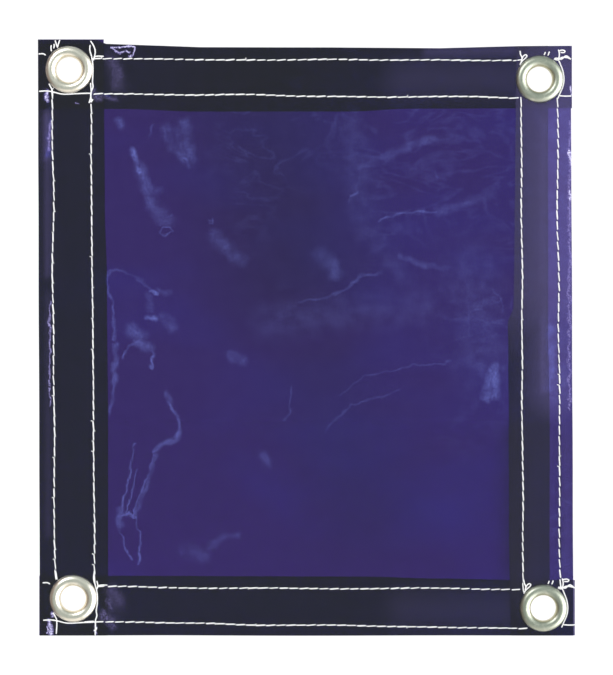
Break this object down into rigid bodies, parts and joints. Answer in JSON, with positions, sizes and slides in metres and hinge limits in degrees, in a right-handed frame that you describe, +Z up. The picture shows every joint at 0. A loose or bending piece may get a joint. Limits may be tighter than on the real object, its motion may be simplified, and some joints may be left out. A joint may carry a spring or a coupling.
{
  "type": "welding curtain panel",
  "caption": "Small hanging welding curtain panel: tinted see-through film with a double-stitched hem strip along each side and a metal grommet set in each corner.",
  "frame": {"origin": "midway between the centres of the two top grommet holes, in the middle of the film's thickness", "axes": "+Z up along the hanging panel, +X to the viewer's right, -Y out of the front face"},
  "size_m": [0.2685, 0.0062, 0.298],
  "materials": {
    "film": "glossy, see-through, deep blue-violet tint",
    "thread": "matte twisted polyester",
    "nickel": "nickel plate, slightly dulled"
  },
  "bodies": {
    "root": {"curtain_sheet": "film", "hem_strip_left": "film", "hem_strip_right": "film", "hem_strip_top": "film", "hem_strip_bottom": "film", "needle_thread_left_outer": "thread", "needle_thread_left_inner": "thread", "needle_thread_right_outer": "thread", "needle_thread_right_inner": "thread", "needle_thread_top_outer": "thread", "needle_thread_top_inner": "thread", "needle_thread_bottom_outer": "thread", "needle_thread_bottom_inner": "thread", "bobbin_thread_left_outer": "thread", "bobbin_thread_left_inner": "thread", "bobbin_thread_right_outer": "thread", "bobbin_thread_right_inner": "thread", "bobbin_thread_top_outer": "thread", "bobbin_thread_top_inner": "thread", "bobbin_thread_bottom_outer": "thread", "bobbin_thread_bottom_inner": "thread", "grommet_eyelet_top_left": "nickel", "grommet_eyelet_top_right": "nickel", "grommet_eyelet_bottom_left": "nickel", "grommet_eyelet_bottom_right": "nickel", "grommet_washer_top_left": "nickel", "grommet_washer_top_right": "nickel", "grommet_washer_bottom_left": "nickel", "grommet_washer_bottom_right": "nickel"}
  },
  "joints": []
}
